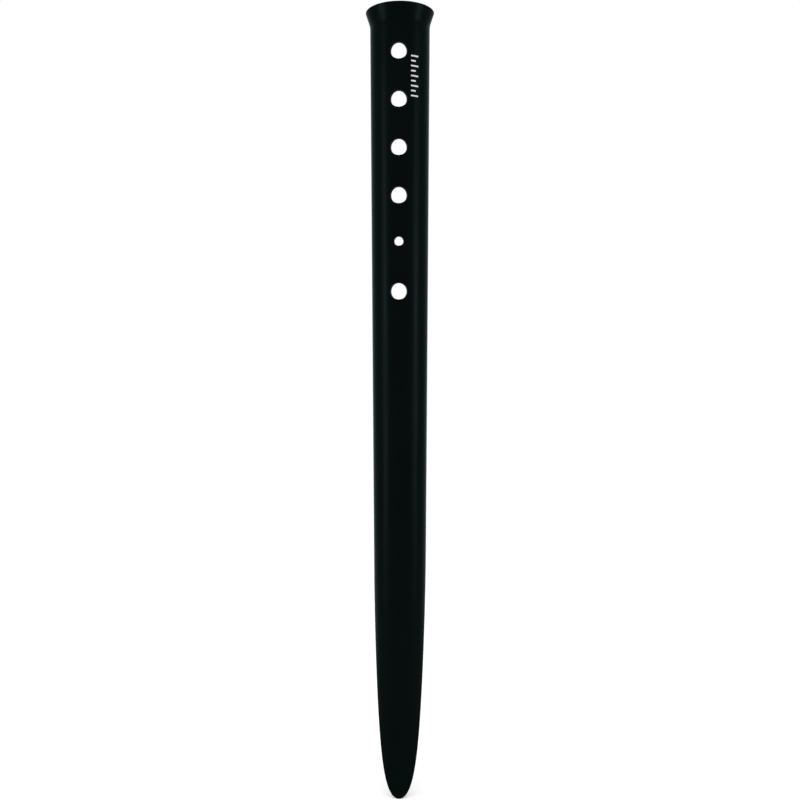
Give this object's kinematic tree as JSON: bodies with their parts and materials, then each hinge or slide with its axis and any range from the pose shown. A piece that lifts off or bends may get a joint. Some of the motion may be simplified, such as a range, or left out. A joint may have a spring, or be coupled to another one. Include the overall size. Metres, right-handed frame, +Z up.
{
  "type": "snow peg",
  "caption": "Half-round tent peg for snow or sand: a tapered channel with a flared striking head, cord holes down its spine and a rounded point.",
  "frame": {"origin": "on the ground under the point, at the middle of the peg's width and depth", "axes": "+Z up the peg's length from the point to the head, -Y out of the convex side, +Y out of the open channel"},
  "size_m": [0.0284, 0.0142, 0.32],
  "materials": {
    "anodised_aluminium": "satin, black anodised"
  },
  "bodies": {
    "root": {"peg_body": "anodised_aluminium"}
  },
  "joints": []
}
